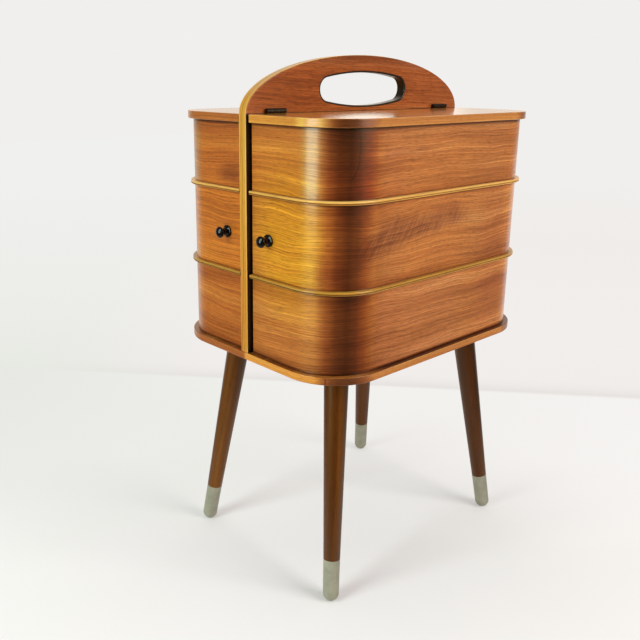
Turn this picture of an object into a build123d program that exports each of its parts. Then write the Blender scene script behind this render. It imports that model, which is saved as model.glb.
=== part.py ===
"""Sewing carrier with two lids.

A carcass of base plate, splayed legs and an upright centre board that rises between two lids into a carrying
handle. Each side of the board has a rounded body of three stacked plywood trays. The body swings out about a
vertical hinge at the back of the board, and the lid above it opens upwards on two small hinges of its own.
+Z is up, +X is to the right and the knobs look towards -Y. The origin is on the floor, under the middle of the
whole object.
"""

import os
from math import sqrt

from build123d import *

# ---- driving dimensions, in millimetres -----------------------------------------------------------------------

# Bodies: two halves of one rounded box
body_width = 264.0
body_depth = 343.0
body_corner = 56.0
wall = 6.0
bottom_tier = 87.5
middle_tier = 90.2
top_tier = 70.3
tray_floor = 4.0
tray_rail = 5.0
rail_height = 32.0
stile = 12.0
side_gap = 2.2
swing_gap = 0.8

# Moulding that covers the joints between the tiers
bead_height = 4.0
bead_reach = 4.8
small_reed = 1.4
bead_back_stop = 5.0

# Base plate, centre board and lids
base_thickness = 8.2
base_overhang = 6.0
lid_thickness = 8.5
lid_overhang = 4.0
lid_corner = 55.0
panel_edge_round = 0.8
board = 12.0
handle_rise = 61.5
handle_round = 1.2
grip_length = 143.0
grip_height = 36.6
grip_end_radius = 13.0
grip_lift = 5.8
board_screw_inset = 57.0
board_screw_length = 34.0
board_screw_radius = 2.0
board_screw_head = 4.2

# Legs
base_height = 263.7
leg_inset_x = 49.3
leg_inset_y = 56.2
leg_splay_x = 30.5
leg_splay_y = 32.4
leg_top_radius = 13.9
ferrule_top_radius = 9.45
foot_radius = 9.05
foot_flat = 0.4
ferrule_length = 40.0
ferrule_skin = 0.9
leg_plate = 60.0
leg_plate_corner = 6.0
leg_plate_thickness = 2.0
leg_boss = 7.0
leg_boss_radius = 11.0
leg_bolt_radius = 4.0
leg_bolt_depth = 32.0
plate_screw_radius = 2.0
plate_screw_edge = 8.0

# Hinges
leaf = 1.0
knuckle_radius = 2.5
hinge_pin_radius = 1.0
pin_play = 0.05
knuckle_play = 0.15
barrel_play = 0.3
lid_hinge_length = 26.0
lid_hinge_leaf = 7.5
lid_hinge_inset = 32.5
body_hinge_length = 50.0
body_hinge_leaf = 15.0
body_hinge_inset = 34.0

# Knobs
knob_x = 34.5
knob_above_joint = 42.7
knob_length = 15.0
knob_face_radius = 7.5
knob_widest = 4.0
knob_head_radius = 6.2
knob_neck_radius = 3.4
knob_foot_radius = 6.6
knob_foot = 2.8
knob_screw_radius = 2.0
knob_screw_bite = 9.0
knob_screw_head_radius = 3.8
knob_screw_head = 2.4

# ---- levels and places that follow from them ------------------------------------------------------------------

half_width = body_width / 2
half_depth = body_depth / 2
inner_x = board / 2 + side_gap
board_reach = half_depth + base_overhang
board_screw_spacing = board_reach - board_screw_inset

base_top = base_height + base_thickness
body_bottom = base_top + swing_gap
lower_joint = body_bottom + bottom_tier
upper_joint = lower_joint + middle_tier
body_top = upper_joint + top_tier
lid_bottom = body_top + swing_gap
lid_top = lid_bottom + lid_thickness
grip_centre = lid_top + grip_lift + grip_height / 2
knob_z = lower_joint + knob_above_joint

leg_top_x = half_width - leg_inset_x
leg_top_y = half_depth - leg_inset_y
foot_x = leg_top_x + leg_splay_x
foot_y = leg_top_y + leg_splay_y

barrel_offset = knuckle_radius + barrel_play
hinge_x = board / 2 + barrel_offset
lid_hinge_z = lid_top + barrel_offset
body_hinge_y = half_depth + barrel_offset
lid_hinge_at = half_depth - lid_hinge_inset

# The knobs stand out at the front only, so the carcass sits this far behind the middle of the whole object.
centre_y = (knob_length - base_overhang) / 2

os.makedirs("parts", exist_ok=True)


def level(z):
    """Horizontal plane at height z, centred on the carcass."""
    return Plane(origin=(0, centre_y, z))


def across(x):
    """Upright plane at x that faces +X: local X runs back along the board and local Y runs up."""
    return Plane(origin=(x, centre_y, 0), x_dir=(0, 1, 0), z_dir=(1, 0, 0))


def save(part, name):
    part.label = name
    export_step(part, f"parts/{name}.step")


def save_pair(part, name):
    """The right-hand piece as it is drawn, and the left-hand one as its mirror image."""
    save(part, f"{name}_right")
    save(mirror(part, about=Plane.YZ), f"{name}_left")


def half_outline(inset, corner):
    """One half of the rounded box: straight along the board, with its two outer corners rounded."""
    with BuildSketch() as outline:
        with Locations((inner_x, 0)):
            Rectangle(half_width - inset - inner_x, body_depth - 2 * inset, align=(Align.MIN, Align.CENTER))
        fillet(outline.vertices().group_by(Axis.X)[-1], corner)
    return outline.sketch


# ---- base plate -----------------------------------------------------------------------------------------------

screw_places = [(0, -board_screw_spacing), (0, 0), (0, board_screw_spacing)]

with BuildPart() as base_plate:
    with BuildSketch(level(base_height)):
        RectangleRounded(
            body_width + 2 * base_overhang, body_depth + 2 * base_overhang, body_corner + base_overhang
        )
    extrude(amount=base_thickness)
    fillet(base_plate.edges().group_by(Axis.Z)[0] + base_plate.edges().group_by(Axis.Z)[-1], panel_edge_round)
    with Locations(Plane(origin=(0, centre_y, base_height), x_dir=(1, 0, 0), z_dir=(0, 0, -1))):
        with Locations(screw_places):
            CounterSinkHole(board_screw_radius, board_screw_head, counter_sink_angle=90)
save(base_plate.part, "base_plate")

# ---- centre board with the carrying handle --------------------------------------------------------------------

grip_half = grip_length / 2
grip_rise = grip_height / 2
end_centre = grip_half - grip_end_radius
# Radius of the long arcs above and below the grip, tangent to the round ends.
grip_radius = (end_centre**2 + grip_rise**2 - grip_end_radius**2) / (2 * (grip_rise - grip_end_radius))
tangent_y = end_centre * grip_radius / (grip_radius - grip_end_radius)
tangent_z = grip_rise - grip_radius + sqrt(grip_radius**2 - tangent_y**2)

with BuildPart() as centre_board:
    with BuildSketch(across(-board / 2)):
        with BuildLine():
            Polyline(
                (-board_reach, lid_top), (-board_reach, base_top), (board_reach, base_top), (board_reach, lid_top)
            )
            EllipticalCenterArc((0, lid_top), board_reach, handle_rise, start_angle=0, arc_size=180)
        make_face()
    extrude(amount=board)
    fillet(centre_board.faces().filter_by(Axis.X).edges().filter_by(GeomType.ELLIPSE), handle_round)
    with BuildSketch(across(-board / 2)):
        with BuildLine(Plane(origin=(0, grip_centre, 0))):
            ThreePointArc((-tangent_y, tangent_z), (0, grip_rise), (tangent_y, tangent_z))
            ThreePointArc((tangent_y, tangent_z), (grip_half, 0), (tangent_y, -tangent_z))
            ThreePointArc((tangent_y, -tangent_z), (0, -grip_rise), (-tangent_y, -tangent_z))
            ThreePointArc((-tangent_y, -tangent_z), (-grip_half, 0), (-tangent_y, tangent_z))
        make_face()
    extrude(amount=board, mode=Mode.SUBTRACT)
    grip_walls = centre_board.faces().filter_by(GeomType.CYLINDER)
    fillet(grip_walls.edges().filter_by(GeomType.CIRCLE), handle_round)
    with Locations(Plane(origin=(0, centre_y, base_top), x_dir=(1, 0, 0), z_dir=(0, 0, -1))):
        with Locations(screw_places):
            Hole(board_screw_radius, depth=board_screw_length - base_thickness)
save(centre_board.part, "centre_board")

with BuildPart() as board_screws:
    for screw_y in (-board_screw_spacing, 0, board_screw_spacing):
        with BuildSketch(across(0)):
            with BuildLine():
                Polyline(
                    (screw_y, base_height),
                    (screw_y + board_screw_head, base_height),
                    (screw_y + board_screw_radius, base_height + board_screw_head - board_screw_radius),
                    (screw_y + board_screw_radius, base_height + board_screw_length),
                    (screw_y, base_height + board_screw_length),
                    close=True,
                )
            make_face()
        revolve(axis=Axis((0, centre_y + screw_y, 0), (0, 0, 1)))
save(board_screws.part, "board_screws")

# ---- legs -----------------------------------------------------------------------------------------------------

# Lengths along a leg's own axis, counted from the centre of its round foot.
leg_run = Vector(leg_top_x - foot_x, leg_top_y - foot_y, base_height - foot_radius + foot_flat)
leg_end = leg_run.length - leg_boss
ferrule_end_radius = foot_radius - ferrule_skin
ferrule_mouth_radius = ferrule_top_radius - ferrule_skin


def leg_frame(side_x, side_y):
    """Foot centre and leg direction, with the upright plane whose local Y runs up the leg."""
    foot = Vector(side_x * foot_x, centre_y + side_y * foot_y, foot_radius - foot_flat)
    up = Vector(side_x * leg_run.X, side_y * leg_run.Y, leg_run.Z).normalized()
    out = up.cross(Vector(0, 0, 1)).normalized()
    return foot, up, Plane(origin=foot, x_dir=out, z_dir=out.cross(up))


corners = {
    "front_right": (1, -1),
    "front_left": (-1, -1),
    "back_right": (1, 1),
    "back_left": (-1, 1),
}
for corner, (side_x, side_y) in corners.items():
    foot, up, profile_plane = leg_frame(side_x, side_y)

    with BuildPart() as leg:
        with BuildSketch(profile_plane):
            with BuildLine():
                Polyline(
                    (0, 0),
                    (ferrule_end_radius, 0),
                    (ferrule_mouth_radius, ferrule_length),
                    (ferrule_top_radius, ferrule_length),
                    (leg_top_radius, leg_end),
                    (leg_bolt_radius, leg_end),
                    (leg_bolt_radius, leg_end - leg_bolt_depth),
                    (0, leg_end - leg_bolt_depth),
                    close=True,
                )
            make_face()
        revolve(axis=Axis(foot, up))
    save(leg.part, f"leg_{corner}")

    with BuildPart() as ferrule:
        with BuildSketch(profile_plane):
            with BuildLine():
                CenterArc((0, 0), foot_radius, start_angle=-90, arc_size=90)
                Polyline(
                    (foot_radius, 0),
                    (ferrule_top_radius, ferrule_length),
                    (ferrule_mouth_radius, ferrule_length),
                    (ferrule_end_radius, 0),
                    (0, 0),
                    (0, -foot_radius),
                )
            make_face()
        revolve(axis=Axis(foot, up))
        split(bisect_by=Plane.XY, keep=Keep.TOP)
    save(ferrule.part, f"ferrule_{corner}")

# Steel plates under the base, each with a slanted boss that takes the leg's bolt.
plate_bottom = base_height - leg_plate_thickness
plate_screw_at = leg_plate - 2 * plate_screw_edge
plates = []
bolts = []
for side_x, side_y in corners.values():
    foot, up, profile_plane = leg_frame(side_x, side_y)
    boss_end = Plane(origin=foot + up * leg_end, z_dir=up)

    with BuildPart() as plate:
        with BuildSketch(Plane(origin=(side_x * leg_top_x, centre_y + side_y * leg_top_y, plate_bottom))):
            RectangleRounded(leg_plate, leg_plate, leg_plate_corner)
            with GridLocations(plate_screw_at, plate_screw_at, 2, 2):
                Circle(plate_screw_radius, mode=Mode.SUBTRACT)
        extrude(amount=leg_plate_thickness)
        with BuildSketch(boss_end):
            Circle(leg_boss_radius)
        extrude(until=Until.NEXT, target=plate.part)
        with BuildSketch(boss_end):
            Circle(leg_bolt_radius)
        extrude(amount=2 * leg_boss, mode=Mode.SUBTRACT)
    plates.append(plate.part)

    with BuildPart() as bolt:
        with BuildSketch(boss_end.offset(-leg_bolt_depth)):
            Circle(leg_bolt_radius)
        extrude(amount=leg_bolt_depth + 2 * leg_boss)
        split(bisect_by=Plane.XY.offset(base_height), keep=Keep.BOTTOM)
    bolts.append(bolt.part)

with BuildPart() as leg_plates:
    add(plates)
save(leg_plates.part, "leg_plates")

with BuildPart() as leg_bolts:
    add(bolts)
save(leg_bolts.part, "leg_bolts")

# ---- hinges ---------------------------------------------------------------------------------------------------


def hinge(middle, length, leaf_reach):
    """Board leaf, swinging leaf and pin of one butt hinge.

    The plane lies across the pin at the middle of the hinge, with local X away from the board and the leaves
    hanging along -Y. Both leaves fit into the gap beside the board: one lies on the board and the other on the
    edge of what it carries.
    """
    first_end = middle.offset(-length / 2)
    knuckle = length / 3
    end_knuckle = knuckle - knuckle_play
    swinging_face = inner_x - hinge_x

    with BuildPart() as board_leaf:
        with BuildSketch(first_end):
            with Locations((-barrel_offset, -barrel_offset)):
                Rectangle(leaf, leaf_reach, align=(Align.MIN, Align.MAX))
        extrude(amount=length)
        with BuildSketch(first_end, middle.offset(length / 2 - end_knuckle)):
            Circle(knuckle_radius)
            with Locations((-barrel_offset, 0)):
                Rectangle(leaf, barrel_offset, align=(Align.MIN, Align.MAX))
        extrude(amount=end_knuckle)
        with BuildSketch(first_end):
            Circle(hinge_pin_radius + pin_play)
        extrude(amount=length, mode=Mode.SUBTRACT)

    with BuildPart() as swinging_leaf:
        with BuildSketch(first_end):
            with Locations((swinging_face, -barrel_offset)):
                Rectangle(leaf, leaf_reach, align=(Align.MAX, Align.MAX))
        extrude(amount=length)
        with BuildSketch(middle.offset(-knuckle / 2)):
            Circle(knuckle_radius)
            with Locations((swinging_face, 0)):
                Rectangle(leaf, barrel_offset, align=(Align.MAX, Align.MAX))
        extrude(amount=knuckle)
        with BuildSketch(first_end):
            Circle(hinge_pin_radius + pin_play)
        extrude(amount=length, mode=Mode.SUBTRACT)

    with BuildPart() as pin:
        with BuildSketch(first_end):
            Circle(hinge_pin_radius)
        extrude(amount=length)
    return board_leaf.part, swinging_leaf.part, pin.part


def save_hinges(middles, length, leaf_reach, name):
    """The same hinge at each of the given planes, written as groups of board leaves, swinging leaves and pins."""
    copies = [hinge(middle, length, leaf_reach) for middle in middles]
    for index, kind in enumerate(("board_leaves", "leaves", "pins")):
        with BuildPart() as group:
            add([copy[index] for copy in copies])
        save_pair(group.part, f"{name}_{kind}")


lid_hinge_planes = [
    Plane(origin=(hinge_x, centre_y + end * lid_hinge_at, lid_hinge_z), x_dir=(1, 0, 0), z_dir=(0, -1, 0))
    for end in (-1, 1)
]
save_hinges(lid_hinge_planes, lid_hinge_length, lid_hinge_leaf, "lid_hinge")

body_hinge_levels = (
    body_bottom + body_hinge_inset + body_hinge_length / 2,
    body_top - body_hinge_inset - body_hinge_length / 2,
)
body_hinge_planes = [Plane(origin=(hinge_x, centre_y + body_hinge_y, z)) for z in body_hinge_levels]
save_hinges(body_hinge_planes, body_hinge_length, body_hinge_leaf, "body_hinge")

# ---- lids -----------------------------------------------------------------------------------------------------

lid_outline = half_outline(-lid_overhang, lid_corner)
with BuildPart() as lid:
    with BuildSketch(level(lid_bottom)):
        add(lid_outline)
    extrude(amount=lid_thickness)
    fillet(lid.edges().group_by(Axis.Z)[0] + lid.edges().group_by(Axis.Z)[-1], panel_edge_round)
save_pair(lid.part, "lid")

# ---- tray walls, floors and inner edges -----------------------------------------------------------------------

outer_outline = half_outline(0, body_corner)
inner_outline = half_outline(wall, body_corner - wall)
inside_depth = body_depth - 2 * wall
opening_depth = inside_depth - 2 * stile
front_face = Plane(origin=(0, centre_y - half_depth, 0), x_dir=(1, 0, 0), z_dir=(0, -1, 0))

tiers = {
    "bottom": (body_bottom, bottom_tier),
    "middle": (lower_joint, middle_tier),
    "top": (upper_joint, top_tier),
}
for tier, (tier_bottom, tier_height) in tiers.items():
    with BuildPart() as tray_wall:
        with BuildSketch(level(tier_bottom)):
            add(outer_outline)
            add(inner_outline, mode=Mode.SUBTRACT)
        extrude(amount=tier_height)
        if tier == "middle":
            with BuildSketch(front_face):
                with Locations((knob_x, knob_z)):
                    Circle(knob_screw_radius)
            extrude(amount=-wall, mode=Mode.SUBTRACT)
    save_pair(tray_wall.part, f"{tier}_wall")

    with BuildPart() as floor_panel:
        with BuildSketch(level(tier_bottom)):
            add(inner_outline)
            for end in (-1, 1):
                with Locations((inner_x, end * (inside_depth - stile) / 2)):
                    Rectangle(stile, stile, align=(Align.MIN, Align.CENTER), mode=Mode.SUBTRACT)
        extrude(amount=tray_floor)
    save_pair(floor_panel.part, f"{tier}_floor")

    # The top tray is closed towards the board. The lower two are open there, above a low rail.
    edge_height = tier_height - tray_floor if tier == "top" else rail_height
    edge_name = "top_panel" if tier == "top" else f"{tier}_rail"
    with BuildPart() as inner_edge:
        with BuildSketch(level(tier_bottom + tray_floor)):
            with Locations((inner_x, 0)):
                Rectangle(tray_rail, opening_depth, align=(Align.MIN, Align.CENTER))
        extrude(amount=edge_height)
    save_pair(inner_edge.part, edge_name)

for end, end_name in ((-1, "front"), (1, "back")):
    with BuildPart() as corner_stile:
        with BuildSketch(level(body_bottom)):
            with Locations((inner_x, end * (inside_depth - stile) / 2)):
                Rectangle(stile, stile, align=(Align.MIN, Align.CENTER))
        extrude(amount=body_top - body_bottom)
    save_pair(corner_stile.part, f"{end_name}_stile")

# ---- mouldings ------------------------------------------------------------------------------------------------

# Two reeds, a large one over a small one, with the same reach.
small_nose = small_reed / 2
large_nose = (bead_height - small_reed) / 2
reed_valley = small_reed - bead_height / 2
for bead_name, joint in (("lower_bead", lower_joint), ("upper_bead", upper_joint)):
    with BuildPart() as bead:
        with BuildLine(level(joint)) as route:
            FilletPolyline(
                (inner_x, -half_depth),
                (half_width, -half_depth),
                (half_width, half_depth),
                (inner_x + bead_back_stop, half_depth),
                radius=body_corner,
            )
        start = Plane(origin=(inner_x, centre_y - half_depth, joint), x_dir=(0, -1, 0), z_dir=(-1, 0, 0))
        with BuildSketch(start):
            with BuildLine():
                Polyline(
                    (bead_reach - large_nose, bead_height / 2),
                    (0, bead_height / 2),
                    (0, -bead_height / 2),
                    (bead_reach - small_nose, -bead_height / 2),
                )
                ThreePointArc(
                    (bead_reach - small_nose, -bead_height / 2),
                    (bead_reach, reed_valley - small_nose),
                    (bead_reach - small_nose, reed_valley),
                )
                Line((bead_reach - small_nose, reed_valley), (bead_reach - large_nose, reed_valley))
                ThreePointArc(
                    (bead_reach - large_nose, reed_valley),
                    (bead_reach, reed_valley + large_nose),
                    (bead_reach - large_nose, bead_height / 2),
                )
            make_face()
        sweep(path=route.line)
    save_pair(bead.part, bead_name)

# ---- knobs ----------------------------------------------------------------------------------------------------

knob_seat = Vector(knob_x, centre_y - half_depth, knob_z)
knob_plane = Plane(origin=knob_seat, x_dir=(1, 0, 0), z_dir=(0, 0, -1))
knob_axis = Axis(knob_seat, (0, -1, 0))
knob_rim = 1.6
knob_head_end = (knob_head_radius - 0.7, knob_length - knob_widest - knob_rim)

with BuildPart() as knob:
    with BuildSketch(knob_plane):
        with BuildLine():
            # Domed face, rounded rim, then the waist, which runs down to a flared foot.
            face = CenterArc((0, knob_length - knob_face_radius), knob_face_radius, start_angle=50, arc_size=40)
            ThreePointArc(face @ 0, (knob_head_radius, knob_length - knob_widest), knob_head_end)
            ThreePointArc(
                knob_head_end,
                (knob_neck_radius, (knob_foot + knob_head_end[1]) / 2),
                (knob_foot_radius - knob_rim, knob_foot),
            )
            Polyline(
                (knob_foot_radius - knob_rim, knob_foot),
                (knob_foot_radius, knob_foot - knob_rim / 2),
                (knob_foot_radius, 0),
                (knob_screw_radius, 0),
                (knob_screw_radius, knob_screw_bite),
                (0, knob_screw_bite),
                (0, knob_length),
            )
        make_face()
    revolve(axis=knob_axis)
save_pair(knob.part, "knob")

with BuildPart() as knob_screw:
    with BuildSketch(knob_plane):
        with BuildLine():
            Polyline(
                (0, knob_screw_bite),
                (knob_screw_radius, knob_screw_bite),
                (knob_screw_radius, -wall),
                (knob_screw_head_radius, -wall),
                (knob_screw_head_radius, -wall - knob_screw_head),
                (0, -wall - knob_screw_head),
                close=True,
            )
        make_face()
    revolve(axis=knob_axis)
save_pair(knob_screw.part, "knob_screw")
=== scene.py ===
# %% [markdown]
# # A sewing carrier with two lids, dressed in Blender
#
# The shape of this box comes from a CAD model: three tiers of bent plywood on each side of a centre board,
# two flat lids, four turned legs. This lesson loads that model and gives it its surfaces: veneer that runs
# round the bent corners, pale reeded beads, black lacquer, enamelled ferrules and dark little hinges. Every
# surface is worked out from nodes, so no picture is needed, and all patterns are sized in real millimetres.

# %% Load the model
import math

import bpy
from mathutils import Matrix, Vector


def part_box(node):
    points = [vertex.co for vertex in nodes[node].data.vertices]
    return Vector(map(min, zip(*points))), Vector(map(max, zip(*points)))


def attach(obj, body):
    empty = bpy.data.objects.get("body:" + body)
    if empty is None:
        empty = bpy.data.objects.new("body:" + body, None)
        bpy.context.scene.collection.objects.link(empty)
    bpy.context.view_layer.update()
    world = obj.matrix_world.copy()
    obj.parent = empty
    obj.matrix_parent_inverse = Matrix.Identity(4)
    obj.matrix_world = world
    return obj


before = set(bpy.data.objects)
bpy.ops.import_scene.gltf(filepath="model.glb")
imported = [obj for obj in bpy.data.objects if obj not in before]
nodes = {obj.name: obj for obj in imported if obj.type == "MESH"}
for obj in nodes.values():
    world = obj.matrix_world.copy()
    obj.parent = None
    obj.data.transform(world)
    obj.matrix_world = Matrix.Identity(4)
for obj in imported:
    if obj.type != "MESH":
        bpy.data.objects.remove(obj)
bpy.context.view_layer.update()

# %% [markdown]
# Blender measures in metres and the workshop in millimetres, so one value turns one into the other. Many
# sizes that the patterns need are measured from the loaded parts instead of typed in a second time, and when
# one of those changes in CAD, the veneer, the edges and the screws here follow it.

# %% Sizes in millimetres
MM = 0.001


def measure(node):
    """Lowest and highest corner of a CAD part, in millimetres."""
    low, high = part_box(node)
    return Vector(low) / MM, Vector(high) / MM


wall_low, wall_high = measure("middle_wall_right")
lid_low, lid_high = measure("lid_right")
base_low, base_high = measure("base_plate")
board_half = measure("centre_board")[1].x
half_width = wall_high.x
half_depth = (wall_high.y - wall_low.y) / 2
centre_y = (wall_high.y + wall_low.y) / 2
corner_radius = 56.0
wall_thickness = 6.0
tier_joints = (wall_low.z, wall_high.z)
print(f"box {2 * half_width:.0f} x {2 * half_depth:.0f} mm, lids at {lid_high.z:.1f} mm")

# %% [markdown]
# Colours are written as the hex codes that a paint chart gives. Those numbers are meant for a screen, while
# the renderer adds up light, so each colour is turned into linear light once, in one place.


# %% Colours as a paint chart gives them
def paint(code):
    """A hex colour such as "B97538" as linear red, green, blue and a full alpha."""
    shares = [int(code[i : i + 2], 16) / 255 for i in (0, 2, 4)]
    return [s / 12.92 if s <= 0.04045 else ((s + 0.055) / 1.055) ** 2.4 for s in shares] + [1.0]


# %% [markdown]
# A material is a small network: places go in, patterns are made from them, and a shader takes the results.
# One helper adds any kind of node, sets its properties, and either types a value into a socket or links
# another node's output to it. A second helper starts a material with its shader, ready to be fed, and a
# third one tells how far a material has grown. Networks can be drawn by hand too, but in code a change to
# one number reaches every place that needs it.


# %% Helpers for node networks
def add(tree, kind, inputs=None, stops=None, **settings):
    """Adds one node. inputs are values or outputs by socket; stops are a colour ramp's places and colours."""
    node = tree.nodes.new("ShaderNode" + kind)
    for name, value in settings.items():
        setattr(node, name, value)
    for socket, value in (inputs or {}).items():
        if isinstance(value, bpy.types.NodeSocket):
            tree.links.new(value, node.inputs[socket])
        else:
            node.inputs[socket].default_value = value
    if stops:
        marks = node.color_ramp.elements
        while len(marks) < len(stops):
            marks.new(0.5)
        for mark, (place, code) in zip(marks, stops):
            mark.position = place
            mark.color = paint(code)
    return node


def start_material(name, **shader_values):
    """A new material, its node tree and its shader with fixed values for the finish."""
    material = bpy.data.materials.new(name)
    material.use_nodes = True
    tree = material.node_tree
    tree.nodes.clear()
    shader = add(tree, "BsdfPrincipled", shader_values)
    add(tree, "OutputMaterial", {"Surface": shader.outputs["BSDF"]})
    return material, tree, shader


def tell(owner, what):
    """Prints what a material or world was just given, and how many nodes it has by now."""
    print(f"{owner.name}: {what}, {len(owner.node_tree.nodes)} nodes")


# %% [markdown]
# ## Masks
#
# A mask is a value that is 1 where a finish or a tint belongs and 0 elsewhere, with a soft edge between.
# Most masks start from the place of a point, in metres: how high it lies, or how far it lies in some
# direction. The small functions below turn such a distance into a mask. Masks could also be painted on an
# unwrapped surface, but these need no unwrapping, and they stay right when the box changes its size.


# %% Masks from a distance
def axis_of(tree, place, axis):
    """One coordinate of a place, in metres."""
    return add(tree, "SeparateXYZ", {"Vector": place}).outputs[axis.upper()]


def how_far(tree, place, direction):
    """How far a place lies in a direction of length 1, in metres."""
    return add(tree, "VectorMath", {0: place, 1: direction}, operation="DOT_PRODUCT").outputs["Value"]


def size_of(tree, value):
    """A value without its sign."""
    return add(tree, "Math", {0: value}, operation="ABSOLUTE").outputs[0]


def climbs(tree, value, low, high):
    """0 up to low and 1 from high on, with an even climb between. With low above high it falls instead."""
    return add(tree, "MapRange", {"Value": value, "From Min": low, "From Max": high}).outputs["Result"]


def rises(tree, value, low, high):
    """The same climb for a value in metres, with low and high in mm."""
    return climbs(tree, value, low * MM, high * MM)


def between(tree, share, low, high):
    """A value that goes from low to high as the share goes from 0 to 1."""
    return add(tree, "MapRange", {"Value": share, "To Min": low, "To Max": high}).outputs["Result"]


# %% [markdown]
# Two masks multiplied keep what lies in both, and the larger one of two keeps what lies in either. A climb
# and a fall multiplied make a band. A soft spot comes from the distance to its middle, counted in reaches,
# so that an egg-shaped spot is as easy as a round one.


# %% Masks joined
def both(tree, first, second, how="MULTIPLY"):
    """Two masks or values joined; MULTIPLY keeps what lies in both, MAXIMUM what lies in either."""
    return add(tree, "Math", {0: first, 1: second}, operation=how).outputs[0]


def elsewhere(tree, mask):
    """1 where the mask is 0, and 0 where it is 1."""
    return both(tree, 1.0, mask, "SUBTRACT")


def band(tree, value, start, full, last, end):
    """Climbs from 0 to 1 between start and full and falls again between last and end, in mm."""
    return both(tree, rises(tree, value, start, full), rises(tree, value, end, last))


def near(tree, place, middle, reach, core=0.3):
    """1 within a soft egg-shaped zone round a spot and 0 outside its reach; both have three numbers in mm."""
    spot = [m * MM for m in middle]
    per_reach = [1 / (r * MM) for r in reach]
    offset = add(tree, "VectorMath", {0: place, 1: spot}, operation="SUBTRACT").outputs[0]
    share = add(tree, "VectorMath", {0: offset, 1: per_reach}, operation="MULTIPLY").outputs[0]
    length = add(tree, "VectorMath", {0: share}, operation="LENGTH").outputs["Value"]
    inputs = {"Value": length, "From Min": 1.0, "From Max": core}
    return add(tree, "MapRange", inputs, interpolation_type="SMOOTHSTEP").outputs["Result"]


# %% [markdown]
# A mask decides how much of one colour gives way to another. A tint is a colour that is multiplied in, so
# the pattern below it stays. Its three factors may be above 1, where the wood is paler than elsewhere.


# %% Colours through a mask
def blend_colours(tree, share, first, second, how="MIX"):
    """Mixes two colours. share 0 gives the first. Sockets 6 and 7 of the Mix node are its colour inputs."""
    mixed = add(tree, "Mix", {0: share, 6: first, 7: second}, data_type="RGBA", blend_type=how)
    return mixed.outputs[2]


def toned(tree, colour, factors, *masks):
    """Multiplies a colour by three factors where all the masks are 1."""
    share = masks[0]
    for mask in masks[1:]:
        share = both(tree, share, mask)
    return blend_colours(tree, share, colour, (*factors, 1.0), "MULTIPLY")


# %% [markdown]
# ## The room
#
# The camera stands a little to the right of the box and above its lids, so that the front, the long side
# and both lids show. It looks at a point inside the box. The lens and the small shift put the box where it
# belongs in the frame without tilting its upright lines more than the eye expects.

# %% The camera
view_azimuth = math.radians(47.35)
view_elevation = math.radians(15.81)
view_roll = math.radians(0.44)
view_target = Vector((-52.28, -52.40, 306.2)) * MM
view_distance = 955.95 * MM

towards_camera = Vector(
    (
        math.sin(view_azimuth) * math.cos(view_elevation),
        -math.cos(view_azimuth) * math.cos(view_elevation),
        math.sin(view_elevation),
    )
)
lens = bpy.data.cameras.new("camera")
lens.lens = 42.97
lens.shift_x = 0.0424
lens.shift_y = -0.0415
camera = bpy.data.objects.new("camera", lens)
camera.matrix_world = (
    Matrix.Translation(view_target + towards_camera * view_distance)
    @ Matrix.Rotation(view_azimuth, 4, "Z")
    @ Matrix.Rotation(math.pi / 2 - view_elevation, 4, "X")
    @ Matrix.Rotation(view_roll, 4, "Z")
)
bpy.context.scene.collection.objects.link(camera)
bpy.context.scene.camera = camera
bpy.context.scene.view_settings.view_transform = "Standard"
print("camera at", [round(v, 3) for v in camera.matrix_world.translation])

# %% [markdown]
# The box stands on pale paper in a pale room. The floor takes the soft shadows of the legs. Further back
# the paper simply becomes the colour of the room, and a faint line marks where the floor meets the wall.
#
# All of that is worked out from the place of a point on the floor: how far it lies from the box, how far
# towards the side where a viewer stands, and how far to that viewer's right.

# %% A sheet of paper
viewer_side = 46
viewer_turn = math.radians(viewer_side)
to_viewer = Vector((math.sin(viewer_turn), -math.cos(viewer_turn), 0.0))
to_right = (0.68, 0.73, 0.0)

bpy.ops.object.select_all(action="DESELECT")
bpy.ops.mesh.primitive_plane_add(size=12)
floor = bpy.context.object
floor.name = "paper_floor"

paper, tree, shader = start_material("rolled_matt_paper", Roughness=0.8)
floor.data.materials.append(paper)
place = add(tree, "TexCoord").outputs["Object"]
from_box = add(tree, "VectorMath", {0: place}, operation="LENGTH").outputs["Value"]
viewerwards = how_far(tree, place, to_viewer)
rightwards = how_far(tree, place, to_right)
facing = both(tree, viewerwards, from_box, "DIVIDE")
rays = add(tree, "LightPath")
camera_ray = rays.outputs["Is Camera Ray"]
glossy_ray = rays.outputs["Is Glossy Ray"]
print(f"{floor.name}: {floor.dimensions.x:.0f} m wide")

# %% [markdown]
# Rolled paper is never quite even, so a slow noise mixes two tones of it. The paper behind the box is painted
# a little paler than the paper in front: painted light. Reflections, and nothing else, see the floor on the
# viewer's side as dark: a painted dark reflection, so the bent walls mirror no pale floor.

# %% Paper, and a dark floor in reflections
cloud = add(tree, "TexNoise", {"Vector": place, "Scale": 2.2, "Detail": 2.0}).outputs["Fac"]
front_paper = add(tree, "ValToRGB", {"Fac": cloud}, stops=[(0.3, "E9E5E3"), (0.7, "EEE9E8")]).outputs["Color"]
# Painted light: the paper behind the box is paler than in front.
back_paper = add(tree, "ValToRGB", {"Fac": cloud}, stops=[(0.3, "F2EFED"), (0.7, "F6F2F0")]).outputs["Color"]
at_back = climbs(tree, viewerwards, 0.08, -0.15)
bare = blend_colours(tree, at_back, front_paper, back_paper)
off_box = climbs(tree, from_box, 0.3, 0.6)
# Painted reflection: the floor on the viewer's side looks dark to reflected rays only.
dark_reflected_floor = both(tree, off_box, climbs(tree, facing, -0.75, -0.1))
dark_reflected_floor = both(tree, dark_reflected_floor, glossy_ray)
tree.links.new(blend_colours(tree, dark_reflected_floor, bare, paint("3A332C")), shader.inputs["Base Color"])
tell(paper, "paper and rug")

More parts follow.
